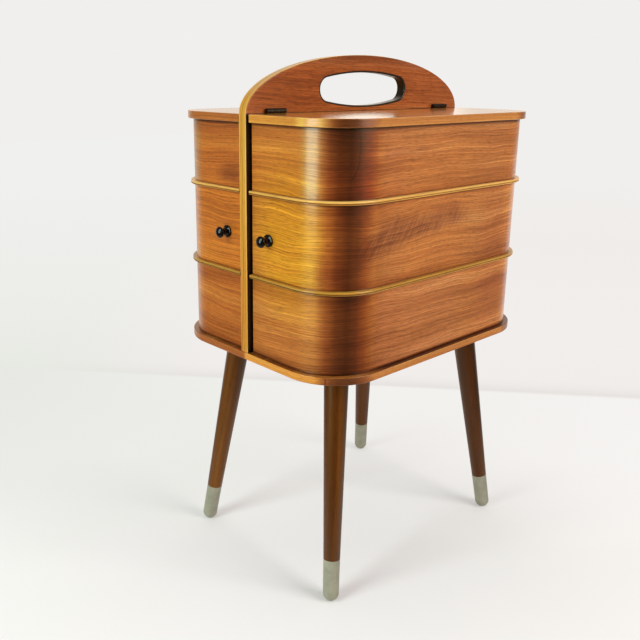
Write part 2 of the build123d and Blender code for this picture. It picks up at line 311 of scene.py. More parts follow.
# %% [markdown]
# Paper in a bright room seems to lose its shading with distance. A node for light of its own does that: it
# shows a fixed tone, and the share of it grows from the box outwards. Only the camera and the reflections
# that look past the back of the box see it, so it throws no light on the wood.

# %% Paper further off
paper_tones = [(0.0, "E9EAE5"), (0.3, "EDEEE9"), (0.65, "F3F1EE"), (1.0, "F6F4F2")]
shown = add(tree, "ValToRGB", {"Fac": climbs(tree, rightwards, -0.65, 0.45)}, stops=paper_tones)
glow = add(tree, "Emission", {"Color": shown.outputs["Color"], "Strength": 1.0})

haze = between(tree, both(tree, at_back, climbs(tree, from_box, 0.0, 0.35)), 0.08, 0.86)
haze = both(tree, haze, climbs(tree, from_box, 0.6, 1.3), "MAXIMUM")
haze = both(tree, haze, camera_ray)
mirrored = both(tree, both(tree, climbs(tree, facing, -0.4, -0.65), off_box), glossy_ray)
soften = both(tree, haze, mirrored, "MAXIMUM")
near_floor = add(tree, "MixShader", {0: soften, 1: shader.outputs[0], 2: glow.outputs[0]})
tell(paper, "tones further off")

# %% [markdown]
# The wall needs no geometry, since nothing touches it. Beyond a straight line on the floor the plane shows
# the wall's tones to the camera. They are greener on the left, and on the right a slightly darker line of
# painted shade lies at its foot. The tones run over the first four metres behind the line.

# %% The foot of the wall
line_direction = Vector((930.0, 810.0, 0.0)).normalized()
line_normal = Vector((-line_direction.y, line_direction.x, 0.0))
line_start = Vector((-829.0, -134.0, 0.0)) * MM
line_width = 0.012
tones_reach = 4.0
left_tones = [(0.0, "E7E9E3"), (0.07, "EBECE7"), (0.16, "EDEEE9"), (0.3, "EEEEEC"), (0.6, "F0F0EE")]
# Painted shade: the darker first tones on the right are the line at the wall's foot.
right_tones = [(0.0, "E4E0DC"), (0.005, "E9E5E2"), (0.01, "EEEAE7"), (0.018, "F1EDEB"), (0.1, "F2EEEC")]
right_tones += [(0.35, "F0ECE9"), (0.8, "F0EFED")]

from_line = add(tree, "VectorMath", {0: place, 1: line_start}, operation="SUBTRACT").outputs[0]
behind = how_far(tree, from_line, line_normal)
depth = both(tree, behind, 1 / tones_reach)
left_wall = add(tree, "ValToRGB", {"Fac": depth}, stops=left_tones).outputs["Color"]
right_wall = add(tree, "ValToRGB", {"Fac": depth}, stops=right_tones).outputs["Color"]
wall_tone = blend_colours(tree, climbs(tree, rightwards, -0.6, -0.2), left_wall, right_wall)
room = add(tree, "Emission", {"Color": wall_tone, "Strength": 1.0})
on_wall = both(tree, climbs(tree, behind, 0.0, line_width), camera_ray)
whole = add(tree, "MixShader", {0: on_wall, 1: near_floor.outputs[0], 2: room.outputs[0]})
tree.links.new(whole.outputs[0], tree.nodes["Material Output"].inputs["Surface"])
tell(paper, "foot of the wall")

# %% [markdown]
# Two tall windows light the room, one in front a little to the left and one on the right. Each is a large
# soft lamp, because a small lamp would show in the lacquer as a hard spot. On a bent corner a window shows
# as one upright bright band, and a dark band follows where the room has no window.


# %% The windows
def window(name, azimuth, distance, width, bottom, top, strength, tone):
    """An upright soft lamp that faces the box; azimuth 0 is in front of the box, 90 is on its right."""
    turn = math.radians(azimuth)
    lamp = bpy.data.lights.new(name, "AREA")
    lamp.shape = "RECTANGLE"
    lamp.size = width
    lamp.size_y = top - bottom
    lamp.energy = strength * math.pi * width * (top - bottom)
    lamp.color = tone
    lamp_object = bpy.data.objects.new(name, lamp)
    spot = Vector((math.sin(turn) * distance, -math.cos(turn) * distance, (top + bottom) / 2))
    upright = Matrix.Rotation(turn, 4, "Z") @ Matrix.Rotation(math.pi / 2, 4, "X")
    lamp_object.matrix_world = Matrix.Translation(spot) @ upright
    lamp_object.visible_camera = False
    bpy.context.scene.collection.objects.link(lamp_object)
    print(f"{name}: {width} x {top - bottom:.2f} m, {lamp.energy:.0f} W")


cool, neutral = (0.83, 1.0, 0.96), (1.0, 0.99, 0.98)
window("front_window", -5, distance=1.7, width=0.7, bottom=0.1, top=2.0, strength=7.2, tone=cool)
window("right_window", 106, distance=1.9, width=1.2, bottom=0.55, top=2.2, strength=6.4, tone=neutral)

# %% [markdown]
# The room itself gives an even pale light. A mirror-like surface needs another room than a matt one: the
# lids and the far corners reflect a bright wall behind the box, while the front reflects a room with its
# lights out. So the light for reflections is set apart from the light for everything else.


# %% One side of the room
def side_of_room(tree, azimuth, climb, none_at, full_at, level):
    """Light from one side of the room; none_at and full_at are cosines of the angle from its middle."""
    turn = math.radians(azimuth)
    direction = add(tree, "TexCoord").outputs["Generated"]
    towards = Vector((math.sin(turn), -math.cos(turn), climb)).normalized()
    cosine = how_far(tree, direction, towards)
    inputs = {"Value": cosine, "From Min": none_at, "From Max": full_at, "To Min": 0.0, "To Max": level}
    return add(tree, "MapRange", inputs, interpolation_type="SMOOTHSTEP").outputs["Result"]


# %% [markdown]
# The even light comes from all sides but the viewer's. Reflections see a dim room, a bright wall behind the
# box and a narrow doorway in it, which draws a soft highlight on the lids. Sockets 2 and 3 of the Mix node
# are its numbers.

# %% The room's own light
wall_side = 227
world = bpy.data.worlds.new("pale_room")
bpy.context.scene.world = world
world.use_nodes = True
tree = world.node_tree
tree.nodes.clear()
even = side_of_room(tree, viewer_side, climb=0.0, none_at=0.88, full_at=0.72, level=0.48)
back = side_of_room(tree, wall_side, climb=0.25, none_at=0.0, full_at=0.6, level=0.3)
dim_room = side_of_room(tree, viewer_side, climb=0.0, none_at=0.88, full_at=0.6, level=0.16)
bright_wall = side_of_room(tree, wall_side, climb=0.3, none_at=0.5, full_at=0.85, level=0.74)
doorway = side_of_room(tree, wall_side - 4, climb=0.05, none_at=0.988, full_at=0.9965, level=0.62)
matt_level = both(tree, even, back, "ADD")
gloss_level = both(tree, both(tree, dim_room, bright_wall, "ADD"), doorway, "ADD")

rays = add(tree, "LightPath")
glossy_ray = rays.outputs["Is Glossy Ray"]
level = add(tree, "Mix", {0: glossy_ray, 2: matt_level, 3: gloss_level}, data_type="FLOAT").outputs[0]
hue = blend_colours(tree, glossy_ray, paint("FFFDFB"), paint("FFF4E6"))
room_light = add(tree, "Background", {"Color": hue, "Strength": level}).outputs[0]
seen = add(tree, "Background", {"Color": paint("F0EFED"), "Strength": 1.0}).outputs[0]
either = add(tree, "MixShader", {0: rays.outputs["Is Camera Ray"], 1: room_light, 2: seen})
add(tree, "OutputWorld", {"Surface": either.outputs[0]})
tell(world, "light for matt and for shiny surfaces")

# %% [markdown]
# A black card stands where the person at the camera would be. Studios use one to keep a dark reflection in
# a shiny corner. It is seen in reflections alone, so it throws no shadow and shows in no view.

# %% The black card
card_distance, card_middle = 1.25, 0.8
card_width, card_height = 1.3, 1.6
bpy.ops.object.select_all(action="DESELECT")
bpy.ops.mesh.primitive_plane_add(size=1)
card = bpy.context.object
card.name = "black_card"
card.matrix_world = (
    Matrix.Translation(to_viewer * card_distance + Vector((0.0, 0.0, card_middle)))
    @ Matrix.Rotation(viewer_turn, 4, "Z")
    @ Matrix.Rotation(math.pi / 2, 4, "X")
    @ Matrix.Diagonal((card_width, card_height, 1.0, 1.0))
)
card.visible_camera = False
card.visible_diffuse = False
card.visible_shadow = False
card.visible_transmission = False
black_felt, tree, shader = start_material("black_felt", Roughness=1.0)
weave = add(tree, "TexNoise", {"Scale": 300.0})
felt = add(tree, "ValToRGB", {"Fac": weave.outputs["Fac"]}, stops=[(0.4, "060606"), (0.6, "0C0B0A")])
tree.links.new(felt.outputs["Color"], shader.inputs["Base Color"])
card.data.materials.append(black_felt)
print(f"{card.name}: {card_width} x {card_height} m")

# %% [markdown]
# ## The way round the box
#
# The bent walls, their beads and the edges of the panels all follow one rounded outline. Two measures
# describe any point near it: how deep it lies below the outer face, and how far round the corner it is.
# Both come from the same trick. The box is folded into one quarter, and the straight core is taken away,
# which leaves a plain quarter circle.


# %% Depth and way
def past_core(tree, place):
    """How far a place lies out from the straight core of the box along x and y; it is less than 0 within."""
    middle = (0.0, centre_y * MM, 0.0)
    core = ((half_width - corner_radius) * MM, (half_depth - corner_radius) * MM, 10.0)
    centred = add(tree, "VectorMath", {0: place, 1: middle}, operation="SUBTRACT").outputs[0]
    folded = add(tree, "VectorMath", {0: centred}, operation="ABSOLUTE").outputs[0]
    return add(tree, "VectorMath", {0: folded, 1: core}, operation="SUBTRACT").outputs[0]


def corner_reach(tree, place):
    """The same without what is less than 0: only a corner has both an x and a y."""
    out = past_core(tree, place)
    return add(tree, "VectorMath", {0: out, 1: (0, 0, 0)}, operation="MAXIMUM").outputs[0]


def depth_in_wall(tree, place):
    """Depth below the outer face of a bent wall in metres: 0 outside, the wall's thickness inside."""
    reach = add(tree, "VectorMath", {0: corner_reach(tree, place)}, operation="LENGTH").outputs["Value"]
    return both(tree, corner_radius * MM, reach, "SUBTRACT")


def way_round(tree, place):
    """The way along the wall: 0 on the front and back, 0 to 90 degrees on a corner, then in mm on a side."""
    out = corner_reach(tree, place)
    turn = both(tree, axis_of(tree, out, "x"), axis_of(tree, out, "y"), "ARCTAN2")
    along = both(tree, axis_of(tree, past_core(tree, place), "y"), 0.0, "MINIMUM")
    return both(tree, both(tree, turn, 180 / math.pi), both(tree, along, 1 / MM), "SUBTRACT")


# %% [markdown]
# Masks and colours along the way are what paints a bent corner. A band has four marks on the way. One that
# begins on the front has its first two marks before the start of the way, and one that runs on along the
# side has its last two further off than any side is long.


# %% Masks and colours on the way
no_start = (-2, -1)
no_end = (5000, 6000)


def on_way(tree, way, start, full, last, end):
    """A band along the way round the wall: degrees on the corner, mm past 90 on the side."""
    return band(tree, both(tree, way, MM), start, full, last, end)


def ramp_on_way(tree, way, marks):
    """A colour ramp along the way; a mark is a place and a colour, and the last mark ends the ramp."""
    end = marks[-1][0]
    stops = [(turn / end, code) for turn, code in marks]
    return add(tree, "ValToRGB", {"Fac": both(tree, way, 1 / end)}, stops=stops).outputs["Color"]


# %% [markdown]
# ## Veneer
#
# Veneer is a thin slice of wood, so its figure is a slice through growth rings: long lines, close together,
# that wander slowly. Noise that is squeezed across the grain and stretched along it gives such lines. All
# of it reads the place in space, so the lines run unbroken round a bent corner, and every part cut from the
# same sheet gets its own piece of it.


# %% Noise along the grain
def stretch(tree, place, run, length, width):
    """Scales a place so that noise is length mm long on the axes named in run, and width mm on the others."""
    scale = [1 / (MM * (length if axis in run else width)) for axis in "xyz"]
    return add(tree, "VectorMath", {0: place, 1: scale}, operation="MULTIPLY").outputs[0]


def long_noise(tree, place, run, length, width, detail=0.0):
    """Noise from 0 to 1 that is drawn out along the grain."""
    inputs = {"Vector": stretch(tree, place, run, length, width), "Scale": 1.0, "Detail": detail}
    return add(tree, "TexNoise", inputs).outputs["Fac"]


def wander(tree, place, size, amount):
    """Moves each place by up to amount mm, slowly, over distances of size mm."""
    noise = add(tree, "TexNoise", {"Vector": place, "Scale": 1 / (MM * size), "Detail": 1.0})
    middle = (0.5, 0.5, 0.5)
    offset = add(tree, "VectorMath", {0: noise.outputs["Color"], 1: middle}, operation="SUBTRACT").outputs[0]
    scaled = add(tree, "VectorMath", {0: offset, "Scale": 2 * amount * MM}, operation="SCALE").outputs[0]
    return add(tree, "VectorMath", {0: place, 1: scaled}, operation="ADD").outputs[0]


# %% [markdown]
# Each growth ring is pale at first and darker towards its end, and then the next one starts at once with
# pale wood. That saw-like change is what makes wood look like wood, so the rings are counted across the
# grain and only the part after the point is kept. Fine streaks about a millimetre wide lie over them, and
# open pores are dark dashes a few tenths wide.


# %% Rings, streaks and pores
cloud_length, ring_length, streak_length, pore_length = 420.0, 330.0, 75.0, 8.0


def late_wood(tree, place, run, across, spacing, uneven=2.0):
    """Growth rings about spacing mm apart: the share climbs from 0 to 1 over each ring, then starts again."""
    count = both(tree, axis_of(tree, place, across), 1 / (spacing * MM))
    drift = both(tree, long_noise(tree, place, run, ring_length, 4 * spacing, 1.0), uneven)
    return add(tree, "Math", {0: both(tree, count, drift, "ADD")}, operation="FRACT").outputs[0]


def grain(tree, place, run, ring, streak=0.9, pore=0.45, across="z"):
    """The four parts of the figure: broad colour, rings, streaks and pores, each a value from 0 to 1."""
    broad = long_noise(tree, place, run, cloud_length, 3.2 * ring, 2.0)
    rings = late_wood(tree, place, run, across, ring)
    streaks = long_noise(tree, place, run, streak_length, streak, 3.0)
    pores = long_noise(tree, place, run, pore_length, pore)
    return broad, rings, streaks, pores


# %% [markdown]
# The broad noise picks one of five browns. The other three parts of the figure only darken it, each by its
# own share, so a coarse walnut and an even moulding wood come from the same function.


# %% Colour of the wood
brown_places = (0.26, 0.40, 0.50, 0.60, 0.74)
ring_marks = [(0.0, "FFFFFF"), (0.12, "FFFFFF"), (0.24, "DDC6B0")]
ring_marks += [(0.62, "D2B69B"), (0.9, "B08C70"), (1.0, "A5805F")]
streak_marks = [(0.30, "8A6E5C"), (0.60, "FFFFFF")]
pore_marks = [(0.30, "5E3E2C"), (0.44, "FFFFFF")]


def wood_colour(tree, figure, browns, ring_share=0.34, streak_share=0.6, pore_share=0.35):
    """Colours the figure: a ramp over the broad noise, then darker ring ends, streaks and pores."""
    broad, rings, streaks, pores = figure
    colour = add(tree, "ValToRGB", {"Fac": broad}, stops=list(zip(brown_places, browns))).outputs["Color"]
    for part, marks, share in (
        (rings, ring_marks, ring_share),
        (streaks, streak_marks, streak_share),
        (pores, pore_marks, pore_share),
    ):
        darker = add(tree, "ValToRGB", {"Fac": part}, stops=marks).outputs["Color"]
        colour = blend_colours(tree, share, colour, darker, "MULTIPLY")
    return colour


# %% [markdown]
# A finish is more than a colour. Gloss varies a little with the streaks, because early wood soaks up more
# lacquer. The same streaks stand in the surface as a relief of a few hundredths of a millimetre, which the
# clear coat follows.


# %% Colour, gloss and relief
def feed(tree, shader, colour, gloss_noise, smooth, rough):
    """Gives the shader its colour, and a roughness that varies between two values with the noise."""
    tree.links.new(colour, shader.inputs["Base Color"])
    tree.links.new(between(tree, gloss_noise, smooth, rough), shader.inputs["Roughness"])


def surface_relief(tree, shader, height, depth):
    """Feeds a height pattern of the given depth in mm to the shader, under the lacquer and in it."""
    bump = add(tree, "Bump", {"Height": height, "Distance": depth * MM, "Strength": 1.0})
    for normal in ("Normal", "Coat Normal"):
        tree.links.new(bump.outputs["Normal"], shader.inputs[normal])


# %% [markdown]
# ## The bent walls
#
# The walls are thin plywood bent round the corners, with a brown veneer outside and a black stain inside.
# Light that enters a lacquered veneer comes back from its fibres with a warm colour, so the shader's own
# highlight is tinted and broad, under a clear coat that gives the sharp one.

# %% Figure of the walls
full_coat, worn_coat = 0.8, 0.15
walls, tree, shader = start_material(
    "lacquered_walnut_veneer_on_bent_ply",
    **{"Metallic": 0.12, "IOR": 1.5, "Specular Tint": paint("FFE2A0")},
    **{"Coat Weight": full_coat, "Coat Roughness": 0.22, "Coat IOR": 1.5},
)
place = add(tree, "TexCoord").outputs["Object"]
depth = depth_in_wall(tree, place)
way = way_round(tree, place)
side_x, side_y, height = [axis_of(tree, place, axis) for axis in "xyz"]

line = wander(tree, wander(tree, place, 160.0, 11.0), 50.0, 2.6)
figure = grain(tree, line, "xy", ring=6.5)
veneer = wood_colour(tree, figure, ("B16126", "C67430", "D58139", "DF8E41", "EB9D4F"))
tell(walls, "figure")

# %% [markdown]
# ### Tiers
#
# Each tier gets its own tints, partly for its own tone of wood and partly for painted shade and highlight.
# Three masks tell the tiers apart, and they change over behind the beads. Most of the painted shade and the
# marks below lie on the front half only, and the back stays even.

# %% Tiers and the front half
change = 6.0
lower_bead, upper_bead = 360.0, 450.0
in_bottom = rises(tree, height, lower_bead + change, lower_bead - change)
in_top = rises(tree, height, upper_bead - change, upper_bead + change)
in_middle = elsewhere(tree, both(tree, in_bottom, in_top, "ADD"))
front_half = rises(tree, side_y, 50.0, 20.0)
print(f"tiers change over at {lower_bead:.0f} and {upper_bead:.0f} mm")


def toned_by_tier(tree, colour, zone, *tints):
    """Tints a zone of the walls, with one tint each for the bottom, the middle and the top tier."""
    for tier, factors in zip((in_bottom, in_middle, in_top), tints):
        colour = toned(tree, colour, factors, zone, tier)
    return colour


# %% [markdown]
# ### Painted shade on the bend
#
# A colour ramp along the way darkens the bend, most a little past its middle: painted shade, in place of the
# dark side of the room that the lacquer mirrors there. Each third of the bend is then corrected tier by tier,
# paler in places and darker in others: the top one is the darkest.

# %% Painted shade on the bend
bend_shade_marks = [(24, "FFFFF6"), (36, "CAACA1"), (46, "95755D"), (58, "705135"), (68, "865B36")]
bend_shade_marks += [(78, "BA8C65"), (90, "E6D8C8"), (112, "FAF3F9")]
# Painted shade on the bend of the front half.
veneer = blend_colours(tree, front_half, veneer, ramp_on_way(tree, way, bend_shade_marks), "MULTIPLY")
for zone, tints in (
    (on_way(tree, way, 24, 38, 50, 66), ((0.94, 0.93, 0.72), (1.28, 1.33, 1.72), (0.71, 0.65, 0.58))),
    (on_way(tree, way, 54, 66, 80, 96), ((1.04, 1.14, 1.0), (1.18, 1.39, 1.77), (0.79, 0.51, 0.33))),
    (on_way(tree, way, 86, 100, *no_end), ((1.0, 1.02, 1.18), (1.08, 1.12, 1.09), (1.02, 1.0, 0.96))),
):
    veneer = toned_by_tier(tree, veneer, both(tree, zone, front_half), *tints)
tell(walls, "browned bend")

# %% [markdown]
# More painted shade lies on the bend: it is darker under the lid, under each bead and low in the middle tier,
# and painted light makes it a little paler just above the upper bead.

# %% Shade at the bend
bend = (24, 38, 70, 90)
under_bead = (46, 55, 76, 88)
before_bend = (20, 30, 52, 68)
# Painted shade under the lid, under the beads and low in the middle tier; painted light above the upper bead.
for factors, heights, turns in (
    ((0.72, 0.62, 0.55), (486.0, 512.0, 560.0, 561.0), bend),
    ((1.2, 1.1, 1.05), (452.0, 456.0, 478.0, 492.0), bend),
    ((0.72, 0.6, 0.55), (425.0, 444.0, 452.0, 453.0), under_bead),
    ((0.75, 0.62, 0.55), (340.0, 352.0, 360.0, 361.0), under_bead),
    ((0.72, 0.56, 0.62), (360.0, 372.0, 384.0, 398.0), before_bend),
):
    zone = both(tree, band(tree, height, *heights), front_half)
    veneer = toned(tree, veneer, factors, zone, on_way(tree, way, *turns))
tell(walls, "shade at the bend")

# %% [markdown]
# ### A curly patch
#
# Near a branch the fibres wave in and out of the sheet, and the veneer shows a dark feather-like patch.
# Here it climbs round the bend of the middle tier and then runs on almost level: its middle is the lower of
# two straight lines, one steep and one flat. Noise moves its edge, and short slanted noise cuts it into
# combs.

# %% A curly patch
steep_line = (0.42, 369.5 * MM)
flat_line = (0.1, 401.5 * MM)
wave = 16.0 * MM
way_in_m = both(tree, way, MM)
lines = [both(tree, both(tree, way_in_m, slope), start, "ADD") for slope, start in (steep_line, flat_line)]
patch_middle = both(tree, *lines, "MINIMUM")
waves = both(tree, both(tree, long_noise(tree, place, "xy", 60.0, 25.0), wave), -wave / 2, "ADD")
from_patch = both(tree, both(tree, height, patch_middle, "SUBTRACT"), waves, "ADD")
patch = both(tree, band(tree, from_patch, -19.0, -5.0, 5.0, 18.0), in_middle)

comb_slant = -0.67
slide = add(tree, "CombineXYZ", {"Y": both(tree, height, comb_slant)}).outputs[0]
slanted = add(tree, "VectorMath", {0: place, 1: slide}, operation="ADD").outputs[0]
combs = climbs(tree, long_noise(tree, slanted, "z", 30.0, 3.0, 2.0), 0.3, 0.6)
patch = both(tree, patch, between(tree, combs, 0.45, 1.0))
veneer = toned(tree, veneer, (0.5, 0.39, 0.55), patch, front_half, on_way(tree, way, 56, 76, 190, 250))
tell(walls, "curly patch")

# %% [markdown]
# Dry air shrinks veneer across a bend, and sooner or later it opens in one fine crack. This one runs down
# the top tier and leans a few degrees at its foot.

# %% A fine crack
lean = between(tree, rises(tree, height, 487.0, 470.0), 67.5, 58.5)
jitter = both(tree, long_noise(tree, place, "", 9.0, 14.0, 1.0), 3.0)
from_crack = both(tree, both(tree, way, lean, "SUBTRACT"), jitter, "ADD")
crack = on_way(tree, from_crack, 0.8, 1.3, 1.7, 2.2)
crack_height = band(tree, height, 468.0, 474.0, 512.0, 518.0)
veneer = toned(tree, veneer, (0.3, 0.26, 0.25), crack, crack_height, front_half)
tell(walls, "a crack")

# %% [markdown]
# ### The front
#
# Beside the right knob the front is painted gold: a painted sheen, the broad warm glow of the front window in
# the lacquer. The left half is a shade redder and darker than the right one, and the right one keeps its own
# tint in each tier until the bend begins.

# %% Painted sheen and brown on the front
# Painted sheen: the front window's broad warm glow beside the right knob.
front_sheen_zone = near(tree, place, middle=(62.0, -167.0, 405.0), reach=(78.0, 60.0, 110.0))
veneer = toned(tree, veneer, (1.2, 1.5, 0.38), front_sheen_zone)

front_left = both(tree, rises(tree, side_y, -90.0, -110.0), rises(tree, side_x, 2.0, -2.0))
veneer = toned(tree, veneer, (0.87, 0.7, 0.42), front_left)
veneer = toned(tree, veneer, (1.2, 1.3, 0.97), front_left, in_middle)

front_right = both(tree, rises(tree, side_x, -2.0, 2.0), on_way(tree, way, *no_start, 20, 40))
veneer = toned_by_tier(tree, veneer, front_right, (0.97, 0.93, 0.88), (0.98, 0.97, 1.0), (0.99, 0.94, 0.63))
tell(walls, "front")

# %% [markdown]
# Between the front and the bend, where the front window shows as an upright bright band, a strip is tinted
# to the colour of that highlight: painted highlight. One small knot sits in the top tier on the left, and
# the last centimetres under the lids are darkened all round: painted shadow of the lids.

# %% Painted highlight strip, knot and painted shadow of the lids
# Painted highlight: the strip where the front window shows on the bend.
highlight_strip = both(tree, on_way(tree, way, 2, 12, 23, 31), front_half)
veneer = toned_by_tier(tree, veneer, highlight_strip, (1.01, 1.07, 0.82), (0.98, 1.08, 0.78), (0.86, 1.2, 1.45))

dark_knot = near(tree, place, middle=(-27.0, -167.0, 467.0), reach=(34.0, 20.0, 15.0), core=0.1)
veneer = toned(tree, veneer, (0.55, 0.45, 0.45), dark_knot)
# Painted shadow of the lids on the top centimetres of the walls.
veneer = toned(tree, veneer, (0.8, 0.76, 0.8), rises(tree, height, 498.0, 517.0))
tell(walls, "rubbed strip and knot")

# %% [markdown]
# ### The long sides
#
# The sides are flat and have faded more evenly. Their middles are palest, their far ends are a little
# darker, and a short dark line runs from the bend into the top tier.

# %% The long sides
long_side = on_way(tree, way, 88, 100, *no_end)
veneer = toned(tree, veneer, (0.95, 1.0, 1.24), long_side)
veneer = toned_by_tier(tree, veneer, long_side, (1.03, 1.03, 1.02), (0.94, 0.92, 0.88))

side_middle = both(tree, long_side, band(tree, side_y, -85.0, -55.0, 25.0, 55.0))
veneer = toned_by_tier(tree, veneer, side_middle, (1.05, 1.12, 1.12), (1.05, 1.05, 0.98), (1.09, 1.18, 1.14))

side_end = both(tree, long_side, rises(tree, side_y, 55.0, 90.0))
veneer = toned(tree, veneer, (0.93, 0.84, 0.83), side_end, elsewhere(tree, in_top))

dark_line = both(tree, band(tree, height, 487.0, 493.0, 499.0, 504.0), front_half)
veneer = toned(tree, veneer, (0.84, 0.75, 0.8), dark_line, on_way(tree, way, 92, 102, 160, 200))
foot = rises(tree, height, 292.0, 280.0)
veneer = toned(tree, veneer, (1.15, 1.22, 1.4), long_side, foot)
tell(walls, "long sides")

# %% [markdown]
# ### Painted shade in the seams, and worn lacquer
#
# Painted shade darkens the walls where two pieces meet: at the foot of the walls, above and below each bead,
# and under the lids. Each bead hides the middle of its band, so one band makes the two dark lines beside it.
# The larger of the four bands counts, so a loop can add one after another to a mask that starts at 0.

# %% Painted shade in the seams
beside_beads = [(joint - 4.8, joint - 2.3, joint + 2.1, joint + 3.4) for joint in tier_joints]
at_foot = (0.0, 1.0, 273.6, 275.4)
under_lid = (517.4, 519.9, 560.0, 561.0)
# Painted shade in the seams: at the foot, beside each bead and under the lids.
seams = 0.0
for heights in (at_foot, *beside_beads, under_lid):
    seams = both(tree, seams, band(tree, height, *heights), "MAXIMUM")
veneer = blend_colours(tree, both(tree, seams, 0.8), veneer, paint("6E3A1C"), "MULTIPLY")
tell(walls, "dirt in the seams")

# %% [markdown]
# The clear coat is thinner where it was rubbed, on the bend and beside the knob, so its sharp reflection
# fades there.

# %% Worn lacquer
worn_bend = both(tree, both(tree, on_way(tree, way, 48, 60, 82, 96), front_half), 0.75)
worn = both(tree, worn_bend, both(tree, front_sheen_zone, in_middle), "MAXIMUM")
tree.links.new(between(tree, worn, full_coat, worn_coat), shader.inputs["Coat Weight"])
tell(walls, "worn lacquer")

# %% [markdown]
# ### Plies and stain
#
# The rims of the walls show the plies: thin layers of pale wood, glued crosswise, so every other one shows
# its end grain and looks darker. The depth below the outer face tells veneer, plies and the black stain
# apart. A ramp without blending gives the sharp glue lines.

# %% Plies, stain and gloss of the walls
ply_marks = [(0.0, "8E5529"), (0.12, "D9B987"), (0.35, "B08A58")]
ply_marks += [(0.5, "DDBF8F"), (0.7, "A98250"), (0.88, "D6B684")]
through_wall = both(tree, depth, 1 / (wall_thickness * MM))
plies = add(tree, "ValToRGB", {"Fac": through_wall}, stops=ply_marks)
plies.color_ramp.interpolation = "CONSTANT"
soak = long_noise(tree, line, "xy", 60.0, 1.2)
stain = add(tree, "ValToRGB", {"Fac": soak}, stops=[(0.3, "120F0D"), (0.7, "211B17")]).outputs["Color"]

skin = blend_colours(tree, rises(tree, depth, 0.3, 0.4), veneer, plies.outputs["Color"])
skin = blend_colours(tree, rises(tree, depth, wall_thickness - 0.25, wall_thickness - 0.15), skin, stain)
off_end = rises(tree, size_of(tree, side_x), wall_low.x + 0.05, wall_low.x + 0.15)
skin = blend_colours(tree, off_end, stain, skin)
feed(tree, shader, skin, figure[2], smooth=0.36, rough=0.5)
surface_relief(tree, shader, figure[2], depth=0.03)
tell(walls, "done")

# %% [markdown]
# ## The centre board
#
# The board is plywood too, with redder veneer on its two faces. The veneer was laid a little out of true,
# so its figure slopes by a degree and a half. Below the lids the faces are stained black, since they only
# show as the dark gap beside the tiers.

# %% Faces of the centre board
warm_glint = paint("FFC070")
board, tree, shader = start_material(
    "lacquered_teak_veneer_board",
    **{"IOR": 1.5, "Specular IOR Level": 0.3, "Specular Tint": warm_glint},
    **{"Coat Weight": 0.6, "Coat Roughness": 0.16, "Coat IOR": 1.45},
)
place = add(tree, "TexCoord").outputs["Object"]
side_x, side_y, height = [axis_of(tree, place, axis) for axis in "xyz"]

slope = math.radians(1.5)
sloping = add(tree, "VectorRotate", {"Vector": place, "Axis": (1, 0, 0), "Angle": slope}).outputs[0]
line = wander(tree, wander(tree, sloping, 180.0, 9.0), 40.0, 1.6)
figure = grain(tree, line, "y", ring=5.0)
faces = wood_colour(tree, figure, ("924412", "A04E17", "AC571D", "B86125", "C47030"), ring_share=0.4)
faces = toned(tree, faces, (1.1, 1.25, 2.0), rises(tree, side_y, 50.0, 90.0))
faces = toned(tree, faces, (0.74, 0.78, 1.18), rises(tree, height, 574.0, 584.0))
soak = long_noise(tree, line, "y", 60.0, 1.2)
stain = add(tree, "ValToRGB", {"Fac": soak}, stops=[(0.3, "120E0B"), (0.7, "1E1713")]).outputs["Color"]
faces = blend_colours(tree, rises(tree, height, lid_high.z + 0.2, lid_high.z + 0.6), stain, faces)
tell(board, "faces")

# %% [markdown]
# A golden strip of solid wood is glued round the edge of the board, and hides its plies. Three glue lines
# run along it, where the strip was built up from thin slices so that it could follow the arch.

# %% Strip round the board
golden = ("C2862C", "CF9635", "DBA43F", "E2B14B", "E9BD5E")
edge_figure = grain(tree, wander(tree, place, 120.0, 4.0), "yz", ring=2.4, across="x")
edging = wood_colour(tree, edge_figure, golden, ring_share=0.15, streak_share=0.25, pore_share=0.15)
for glue in (-3.1, -0.4, 2.6):
    joint = band(tree, side_x, glue - 0.5, glue - 0.2, glue + 0.2, glue + 0.5)
    edging = blend_colours(tree, both(tree, joint, 0.7), edging, paint("C09A6A"), "MULTIPLY")
edging = toned(tree, edging, (0.93, 0.8, 0.82), rises(tree, height, 440.0, 350.0))
edging = toned(tree, edging, (1.02, 1.06, 1.22), rises(tree, height, 440.0, 470.0))
tell(board, "edging")

# %% [markdown]
# The grip is an oval of four arcs: a small round end on each side and a long flat arc above and below. A
# point is near the grip if it is near a round end, or between the ends and near a long arc. The black paint
# of the hole runs just over its rounded rims.

# %% The painted grip
grip_low, grip_high = 535.8, 572.4
grip_half_length, grip_end = 71.5, 13.0
grip_rise = (grip_high - grip_low) / 2
end_middle = grip_half_length - grip_end
arc_radius = (end_middle**2 + grip_rise**2 - grip_end**2) / (2 * (grip_rise - grip_end))
arc_end = end_middle * arc_radius / (arc_radius - grip_end)
grip_middle = (0.0, centre_y * MM, (grip_low + grip_high) / 2 * MM)
arc_middle = (0.0, 0.0, (grip_rise - arc_radius) * MM)

